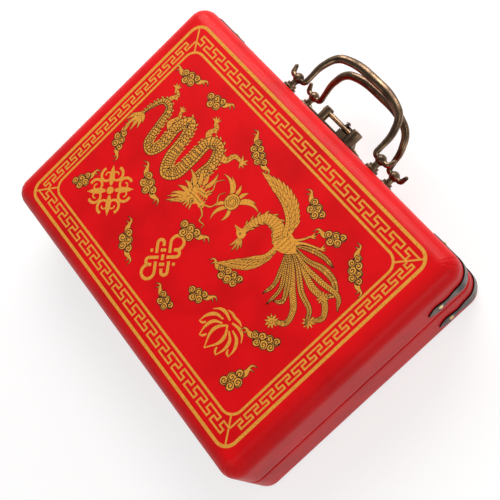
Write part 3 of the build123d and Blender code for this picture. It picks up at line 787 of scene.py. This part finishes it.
def cloud(centre, lobes, size, lean, wisps):
    s = cloudShape
    along, middle = towards(lean), Vector(centre)
    across = Vector((-along.y, along.x))
    reach = size * s["pitch"] * (lobes - 1) / 2
    for sign in (-1, 1):
        if wisps and sign != wisps:
            continue
        for drop, far in s["wisps"]:
            line = smoothLine(
                [
                    middle + along * sign * reach * 0.6 - across * size * 0.4,
                    middle + along * sign * (reach + size * 0.9) - across * size * drop,
                    middle + along * sign * (reach + size * far * 0.75) - across * size * (drop + 0.5),
                    middle + along * sign * (reach + size * far) - across * size * (drop - 0.1),
                ]
            )
            widths = widthsAlong(line, [(0, size), (0.5, size * 0.36), (1, 0.12)])
            inked(line, widths, 0, s["edge"] * 0.7)
    places = []
    for row, rise in ((lobes, -0.55), (lobes - 1, 0.6)):
        for k in range(row):
            shift = (k - (row - 1) / 2) * size * s["pitch"]
            bulge = 1 - 0.12 * abs(k - (row - 1) / 2)
            spot = middle + along * shift + across * size * rise * (0.8 + 0.2 * bulge)
            places.append((spot, size * s["lobe"] * bulge, 1 if rise > 0 else -1))
    for k, (spot, radius, _) in enumerate(places):
        disc("black", spot, radius + s["edge"], 2 + 2 * k)
        disc("gold", spot, radius, 3 + 2 * k)
    for k, (spot, radius, side) in enumerate(places):
        turn = s["turn"] if k % 2 else -s["turn"]
        curl = spiral(spot, degreesOf(across) - 90 * side, turn, radius * 0.9, radius * 0.16, 22)
        stroke("black", curl, s["curl"], 22)


for details in clouds:
    cloud(*details)


# three plain ornaments: lotus, endless knot and a rosette of curled heads
lotusShape = {
    "drawnAt": 40,  # the size that the strokes are given for
    "strokes": (
        # (points on the right-hand side, width at start, middle and end)
        (((0, -9), (5.2, -2), (5.6, 6), (0, 17)), 1.6, 3.0, 1.0),
        (((4.5, -7), (11.2, -2.5), (13.2, 5), (11.5, 13.5)), 1.4, 3.0, 0.8),
        (((11.5, 13.5), (8.6, 11.5), (7.4, 8.5)), 0.8, 2.0, 1.4),
        (((6.5, -9.5), (14.5, -7.5), (19.5, -1), (20.5, 6.5)), 1.4, 3.0, 0.8),
        (((20.5, 6.5), (17.2, 5.2), (15.6, 2.6)), 0.8, 2.0, 1.4),
        (((1.5, -13), (9, -14.5), (15, -13), (19.5, -8.5)), 1.6, 2.8, 0.7),
        (((0, -17.5), (5, -18), (9.5, -17)), 2.2, 2.0, 0.7),
    ),
}


def lotus(centre, size):
    # open brush strokes: a middle petal, two pairs of side petals, and a pad below
    unit = size / lotusShape["drawnAt"]
    for sign in (-1, 1):
        for points, start, middle, end in lotusShape["strokes"]:
            line = smoothLine([Vector(centre) + Vector((sign * x, y)) * unit for x, y in points])
            widths = [(0, start * unit), (0.45, middle * unit), (1, end * unit)]
            stroke("gold", line, widthsAlong(line, widths), 0.5 + 0.5 * sign)


def endlessKnot(centre, size):
    # three cords each way, over and under, joined by loops outside the square
    pitch, width, gap = size / 7.2, size * 0.062, size * 0.052
    clear = (gap + width / 2) / pitch
    turn = Matrix.Rotation(pi / 4, 2)

    def place(u, v, across=False):
        return Vector(centre) + turn @ (Vector((v, u) if across else (u, v)) * pitch)

    for across in (False, True):
        for u in (-1, 0, 1):
            cuts = [-2.0]
            for v in (-1, 0, 1):
                if (u + v + across) % 2:
                    cuts += [v - clear, v + clear]
            cuts.append(2.0)
            for low, high in zip(cuts[::2], cuts[1::2]):
                stroke("gold", [place(u, low, across), place(u, high, across)], width, 0)
        for way in (1, -1):  # loops that join neighbours
            middle = 0.5 * way if across else -0.5 * way
            bend = [pi * j / 14 for j in range(15)]
            loop = [place(middle - 0.5 * cos(a), way * (2 + 0.5 * sin(a)), across) for a in bend]
            stroke("gold", loop, width, 0)
    for sign in (-1, 1):  # loops at two of the corners
        bend = [pi - 1.5 * pi * j / 22 for j in range(23)]
        loop = [place(sign * (2 + cos(a)), sign * (2 + sin(a))) for a in bend]
        stroke("gold", loop, width, 0)


def curledRosette(centre, size):
    # four pairs of curls round a boss, in shares of the size
    middle = Vector(centre)
    for k in range(4):
        angle = 90 * k + 45
        out = towards(angle)
        side = Vector((-out.y, out.x))
        heart = middle + out * size * 0.30
        for sign in (-1, 1):
            eye = heart + side * sign * size * 0.1
            curl = spiral(eye, angle + sign * 20, sign * 430, size * 0.15, size * 0.035, 26)
            widths = widthsAlong(curl, [(0, 2.3), (1, 1.1)])
            stroke("gold", curl, widths, 0.4 * k + (0.2 if sign > 0 else 0))
        leaf(heart - out * size * 0.20, angle, size * 0.36, size * 0.11, 0, 2, full=1, edge=0)
        base = middle + out.orthogonal() * size * 0.16
        leaf(base, angle + 90, size * 0.34, size * 0.1, 0, 2.5, full=1, edge=0)
    disc("gold", centre, size * 0.075, 3)


lotus((-71, 47.5), 36)
endlessKnot((7.5, 45.5), 40)
curledRosette((85, 45), 42)


# flaming pearl between the two creatures
pearlShape = {
    "centre": (0, -21),
    "radius": 6.2,
    "flames": (
        # (angle, length, bend, base)
        (80, 16, 70, (0, 6)), (100, 11, -60, (-3, 5)), (60, 9, 50, (4, 5)), (200, 20, -70, (-5, -3)),
        (215, 13, -40, (-5, -5)), (-20, 20, 70, (5, -3)), (-35, 13, 40, (5, -5)),
        (250, 8, -30, (-2, -6)), (290, 8, 30, (2, -6)),
    ),
}


def pearl():
    centre, radius = pearlShape["centre"], pearlShape["radius"]
    for angle, length, bend, (right, up) in pearlShape["flames"]:
        base = (centre[0] + right, centre[1] + up)
        leaf(base, angle, length, 3.0, bend, 0)
    disc("black", centre, radius + 0.5, 3, 32)
    disc("gold", centre, radius, 4, 32)
    for start in (20, 200):
        stroke("black", spiral(centre, start, 400, radius * 0.8, radius * 0.25, 24), 0.5, 5)


pearl()


# dragon: one long scaled body, drawn from the neck to the tail
dragonShape = {
    # points from the neck to the tail
    "line": (
        (31, -5), (37, -14), (36, -28), (42, -40), (52, -37), (52, -20), (53, -4), (61, 2), (68, -8),
        (71, -26), (77, -37), (83, -27), (81, -10), (85, 0), (93, -3), (97, -18), (101, -32),
        (110, -33), (115, -22), (116, -12),
    ),
    "widths": [(0, 7.6), (0.12, 8.8), (0.3, 9.4), (0.6, 8.4), (0.85, 5.4), (1, 1.6)],
    "scaleRow": 2.1,
    "scaleWidth": 2.5,
    "belly": 0.24,  # share of the width that has plates in place of scales
    "finStep": 3.0,
    "legs": (
        # (joints, width at hip, knee and ankle, directions of the claws, claw length)
        (((40, -37), (30, -38), (27, -45), (19, -46)), (6.5, 4.0, 2.2), (120, 160, 200, 240, -50), 5.5),
        (((49, -38), (58, -42), (56, -49), (61, -52)), (6.5, 3.8, 2.2), (-120, -80, -40, 0, 130), 5.0),
        (((84, -22), (91, -25), (88, -33), (91, -38)), (5.5, 3.4, 1.9), (-140, -100, -60, -20, 110), 4.4),
        (((99, -30), (107, -37), (104, -44), (110, -47)), (5.5, 3.4, 1.9), (-120, -80, -40, 0, 130), 4.8),
    ),
    "tuftFrom": (116, -14),
    "tuft": ((60, 15), (82, 20), (100, 17), (120, 13), (40, 10), (140, 8)),  # angle and length
}


def across(line, i):
    # direction of a line at a point, and the direction to its left
    heading = (line[i + 1] - line[i - 1]).normalized()
    return heading, Vector((-heading.y, heading.x))


def dragonScales(line, widths):
    s = dragonShape
    travelled, due, row, finDue = 0.0, 1.0, 0, 0.0
    for i in range(1, len(line) - 1):
        travelled += (line[i] - line[i - 1]).length
        heading, side = across(line, i)
        width = widths[i]
        if travelled >= finDue:
            finDue += s["finStep"]
            base = line[i] - side * (width / 2 - 0.3)
            leaf(base, degreesOf(-side) + 42, 2.3 + width * 0.14, 1.7, 24, 0)
        if travelled < due:
            continue
        due += s["scaleRow"]
        row += 1
        belly = width * s["belly"]
        room = width - belly - 0.5
        count = max(2, round(room / s["scaleWidth"]))
        each = room / count
        for k in range(count + row % 2):
            middle = -width / 2 + 0.3 + each * (k + 0.5 - 0.5 * (row % 2))
            scale = []
            for j in range(5):
                a = pi * j / 4
                place = middle - each * 0.5 * cos(a)
                if -width / 2 + 0.2 <= place <= width / 2 - belly:
                    scale.append(line[i] + side * place + heading * each * 0.5 * sin(a))
            if len(scale) > 2:
                stroke("black", scale, 0.56, 12 + 0.5 * (row % 2))
        plate = [line[i] + side * (width / 2 - belly), line[i] + side * (width / 2 - 0.15) - heading * 0.5]
        stroke("black", plate, 0.5, 12)
    ridge = [line[i] + across(line, i)[1] * widths[i] * 0.26 for i in range(1, len(line) - 1)]
    stroke("black", ridge, 0.6, 13.2)


def clawedLeg(joints, sizes, claws, size):
    layer = 2
    line = smoothLine(joints, 5)
    inked(line, widthsAlong(line, list(zip((0, 0.5, 1), sizes))), layer)
    tip = line[-1]
    for k, angle in enumerate(claws):
        bend = 40 if k % 2 else 25
        leaf(tip, angle, size, size * 0.34, bend, layer + 2 + k * 0.1, full=0.6)
    for k in range(3):  # tufts behind the knee
        angle = degreesOf(line[0] - tip) + 60 - 25 * k
        leaf(line[len(line) // 2 + k], angle, size * 0.8, 1.2, 40, layer + 2, full=0.6, edge=0.22)
    for i in range(2, len(line) - 2, 2):
        heading, side = across(line, i)
        stroke("black", [line[i] - side * 0.9, line[i] + heading * 0.7, line[i] + side * 0.9], 0.3, layer + 3)


def dragon():
    line = smoothLine(dragonShape["line"], 14)
    widths = widthsAlong(line, dragonShape["widths"])
    for leg in dragonShape["legs"]:
        clawedLeg(*leg)
    inked(line, widths, 10, 0.6)
    dragonScales(line, widths)
    for k, (angle, length) in enumerate(dragonShape["tuft"]):
        base, bend = dragonShape["tuftFrom"], 40 - 14 * k
        leaf(base, angle, length, 3.0, bend, 14 + k, full=0.8, vein=0.25, edge=0.28)


headShape = {
    "mane": (
        # (base, angle)
        ((35, 2), 30), ((36, -1), 12), ((37, -4), -6), ((37, -8), -24),
        ((35, -11), -44), ((32, -13), -66), ((29, -13), -86), ((34, 5), 48),
    ),
    "jaw": ((33, -7), (27, -10.5), (20.5, -10.8), (17.5, -9.2), (20, -7.4), (26, -6.0), (30, -3.5)),
    "skull": (
        (35, -3), (30, -4.5), (26, -5.2), (21, -4.6), (17, -5.2), (14.2, -3.8), (14.6, -0.8),
        (17.2, 0.6), (20, -0.2), (23.4, 2.6), (27, 4.8), (32, 4.8), (35.5, 2),
    ),
    "teeth": (16.5, 19, 21.5, 24),
    "eye": (25.6, 1.2),
    "nostril": (15.9, -1.6),
    "creases": (
        ((29, -7.5), (25, -8.9), (20.6, -9.4)),
        ((33, -1.5), (29, -2.4), (24, -2.6), (18.4, -2.8)),
        ((31.5, 3), (30, 0), (31, -3)),
    ),
    "whiskers": (
        ((16, -1), (10, 2), (8, 6.5), (3, 6), (2.5, 9.5)),
        ((15, -4), (10, -6.5), (8.5, -12), (12, -17), (9.5, -22)),
        ((22, -10), (19, -16), (22, -22), (18, -28)),
    ),
}


def dragonHead():
    s = headShape
    for k, ((x, y), angle) in enumerate(s["mane"]):
        length, bend = 15 - (k % 3) * 2.5, 46 - 12 * (k % 2)
        leaf((x - 4, y), angle, length, 3.4, bend, 16 + k, vein=0.28, edge=0.3)
    for bend, layer in ((46, 26), (18, 28)):  # branched horns
        horn = leafLine((30, 4), 52 - bend * 0.4, 17, bend, 12)
        inked(horn, widthsAlong(horn, [(0, 2.4), (0.6, 1.5), (1, 0.3)]), layer, 0.3)
        leaf(horn[6], 62, 5, 1.3, 20, layer + 1)
    patch(s["jaw"], 30)
    patch(s["skull"], 32)
    for x in s["teeth"]:
        leaf((x, -4.9), -90, 2.2, 0.9, 0, 33, full=0.6, edge=0.15)
        leaf((x + 0.8, -8.6 + (x - 16) * 0.12), 90, 1.8, 0.8, 0, 33, full=0.6, edge=0.15)
    disc("black", s["eye"], 1.9, 36)
    disc("gold", s["eye"], 1.35, 37)
    disc("black", (s["eye"][0] - 0.4, s["eye"][1] - 0.1), 0.65, 38)
    disc("black", s["nostril"], 0.55, 36)
    for k in range(4):  # brow above, beard below
        leaf((23.5 + k * 2.2, 3.2 + k * 0.5), 118 - 14 * k, 4.6, 1.5, 30, 38 + k)
        leaf((19 + k * 2.6, -10.4), -112 + 8 * k, 4.4, 1.3, -24, 26 + k)
    for crease in s["creases"]:
        stroke("black", smoothLine(crease, 4), 0.36, 37)
    for whisker in s["whiskers"]:
        line = smoothLine(whisker, 6)
        inked(line, widthsAlong(line, [(0, 1.2), (0.5, 0.8), (1, 0.2)]), 34, 0.22)


dragon()
dragonHead()


# phoenix: wings in rows of feathers, tail plumes with barbs and curled eyes
phoenixShape = {
    "tail": (
        # (points from the body out, width, eye)
        (((-62, -29), (-74, -22), (-86, -12), (-97, -4), (-101, 6), (-94, 12)), 4.8, 4.2),
        (((-64, -31), (-78, -28), (-94, -24), (-108, -24), (-117, -16), (-113, -8)), 4.8, 4.0),
        (((-64, -33), (-78, -34), (-90, -38), (-102, -38), (-110, -33), (-107, -26)), 4.4, 3.6),
        (((-62, -30), (-73, -20), (-82, -10), (-87, -2), (-82, 3)), 3.8, 0),
        (((-63, -31), (-77, -25), (-92, -16), (-106, -12), (-112, -3)), 4.0, 0),
        (((-64, -32), (-80, -30), (-97, -31), (-113, -33), (-121, -26)), 3.8, 0),
        (((-60, -28), (-68, -16), (-73, -5), (-72, 5)), 3.2, 0),
        (((-62, -34), (-72, -40), (-84, -44), (-95, -44)), 3.4, 0),
        (((-61, -29), (-71, -17), (-79, -6), (-80, 8)), 3.0, 0),
    ),
    "barbStep": 1.5,
    "feet": ((-78, -46), (-66, -47)),
    "toes": (-150, -120, -85, 60),
    "wings": (
        # (bone, direction at shoulder and tip and bend, feather rows, longest first)
        (
            ((-53, -25), (-52, -14), (-46, -6), (-41, 0)),
            (100, 52, -22),
            ((22, 3.2, 12, 0.05), (14, 2.8, 10, 0.0), (8, 2.4, 9, 0.0)),
        ),
        (
            ((-51, -33), (-44, -42), (-34, -47), (-22, -49)),
            (-96, -8, 26),
            ((23, 3.2, 13, 0.05), (15, 2.8, 11, 0.0), (8, 2.4, 9, 0.0)),
        ),
    ),
    "body": (
        (-67, -31), (-62, -25.5), (-54, -22.5), (-46, -25), (-42, -30.5), (-45, -36), (-53, -38), (-61, -36),
    ),
    "neck": ((-50, -30), (-40, -34.5), (-30, -32), (-25.5, -23), (-25, -14)),
    "neckWidths": [(0, 11), (0.3, 8.4), (0.7, 5.6), (1, 4.4)],
    "crest": ((128, 11), (108, 12), (88, 10), (148, 9)),  # angle and length
    "head": (
        (-28.2, -13), (-28.6, -9.6), (-26, -7.4), (-22.6, -8), (-19.8, -10), (-15.8, -11.6),
        (-19.4, -12.6), (-22, -13.4), (-24.4, -15.4),
    ),
    "beak": ((-16.2, -11.7), (-19.6, -11.2), (-22, -11.4)),
    "eye": (-24.2, -10.2),
}


def plumeEye(tip, heading, eye, layer):
    # a curled disc in a ring of small feathers
    spot = tip + towards(heading) * eye * 0.5
    for k in range(9):
        a = heading - 150 + 37.5 * k
        base = spot + towards(a) * eye * 0.55
        leaf(base, a, eye * 0.75, eye * 0.34, 20, layer + 2 + 0.05 * k, edge=0.22)
    disc("black", spot, eye * 0.72, layer + 3)
    disc("gold", spot, eye * 0.6, layer + 4)
    stroke("black", spiral(spot, heading, 420, eye * 0.48, eye * 0.1, 18), 0.36, layer + 5)


def plume(corners, width, eye, layer):
    line = smoothLine(corners, 9)
    tip = 0.5 if eye else 0.1
    sizes = [(0, width * 0.45), (0.45, width), (0.85, width * 0.8), (1, width * tip)]
    widths = widthsAlong(line, sizes)
    inked(line, widths, layer, 0.42)
    stroke("black", line, 0.44, layer + 1.6)
    travelled, due = 0.0, 1.0
    for i in range(1, len(line) - 1):
        travelled += (line[i] - line[i - 1]).length
        if travelled < due:
            continue
        due += phoenixShape["barbStep"]
        heading, side = across(line, i)
        for sign in (-1, 1):
            barb = line[i] + side * sign * widths[i] * 0.5 + heading * widths[i] * 0.42
            stroke("black", [line[i], barb], 0.36, layer + 1.7)
    if eye:
        plumeEye(line[-1], degreesOf(line[-1] - line[-2]), eye, layer)


def wing(bone, directions, rows, layer):
    # rows of (length, width, feathers, start along the bone)
    line = smoothLine(bone, 10)
    shoulder, tip, bend = directions
    for length, width, count, first in rows:
        for k in range(count):
            t = first + (1 - first) * k / (count - 1)
            spot = line[min(len(line) - 1, round(t * (len(line) - 1)))]
            angle = shoulder + (tip - shoulder) * t
            leaf(spot, angle, length * (0.62 + 0.38 * t), width, bend, layer, full=1.5, vein=0.26, edge=0.26)
            layer += 2
    inked(line, widthsAlong(line, [(0, 3.4), (0.5, 2.6), (1, 0.8)]), layer, 0.3)
    for spot in line[2:-1:2]:
        stroke("black", [spot + Vector((-0.7, 0.5)), spot, spot + Vector((0.7, 0.5))], 0.28, layer + 2)


def neckFeathers(neck, widths):
    # small lapped feathers, and longer ones that stand out at the sides
    for i in range(1, len(neck) - 1, 2):
        heading, side = across(neck, i)
        count = max(2, round(widths[i] / 2.2))
        for k in range(count):
            middle = neck[i] + side * widths[i] * ((k + 0.5) / count - 0.5)
            lap = [middle + side * 0.9 + heading * 0.8, middle, middle - side * 0.9 + heading * 0.8]
            stroke("black", lap, 0.3, 86)
        if i % 4 == 1:
            for sign in (-1, 1):
                base, angle = neck[i] + side * sign * widths[i] * 0.42, degreesOf(-heading) - sign * 34
                leaf(base, angle, 4.6, 1.3, 20 * sign, 83, edge=0.22)


def phoenix():
    s = phoenixShape
    for k, (corners, width, eye) in enumerate(s["tail"]):
        plume(corners, width, eye, 6 * k)
    for k, foot in enumerate(s["feet"]):
        shin = smoothLine([(-60 + 3 * k, -34), (-66 + 4 * k, -40), foot], 5)
        inked(shin, widthsAlong(shin, [(0, 4.0), (0.4, 1.6), (1, 1.1)]), 54, 0.26)
        for toe, angle in enumerate(s["toes"]):
            leaf(foot, angle, 4.4, 1.2, 40, 57 + toe * 0.1, full=0.6, edge=0.22)
    for bone, directions, rows in s["wings"]:
        wing(bone, directions, rows, 20)
    patch(s["body"], 82)
    neck = smoothLine(s["neck"], 8)
    widths = widthsAlong(neck, s["neckWidths"])
    inked(neck, widths, 84)
    neckFeathers(neck, widths)
    for row in range(5):  # lapped feathers on the body
        for k in range(5 - row % 2):
            x, y = -62 + row * 3.4, -34 + k * 2.4 + (row % 2) * 1.2
            lap = [Vector((x + 0.9, y + 1.0)), Vector((x, y)), Vector((x + 0.9, y - 1.0))]
            stroke("black", lap, 0.3, 86)
    for k, (angle, length) in enumerate(s["crest"]):
        leaf((-25.5, -8.5), angle, length, 1.7, -36, 84 + k * 0.3, full=1.2, vein=0.2, edge=0.22)
    patch(s["head"], 87, 0.34)
    stroke("black", smoothLine(s["beak"], 4), 0.3, 89)
    disc("black", s["eye"], 0.95, 89)
    disc("gold", s["eye"], 0.5, 90)
    for k in range(3):  # wattles
        leaf((-23.5 - k * 1.2, -14.5), -70 - 18 * k, 4.6, 1.4, 20, 86 + 0.2 * k, full=0.8, edge=0.22)


phoenix()
for ink, (points, faces) in inkMeshes.items():
    print(ink, "print:", len(points), "points")
    makePiece(ink + "Print", points, faces, "red_leathercloth", "lid", printInks[ink], smooth=False)
print("print on the lid made")

for subpart in frame["record"]["subparts"]:
    slots = nodes[subpart["node"]].data.materials
    slots.clear()
    slots.append(materials[subpart["material_slot"]])
print("finishes given to the carried-over pieces")
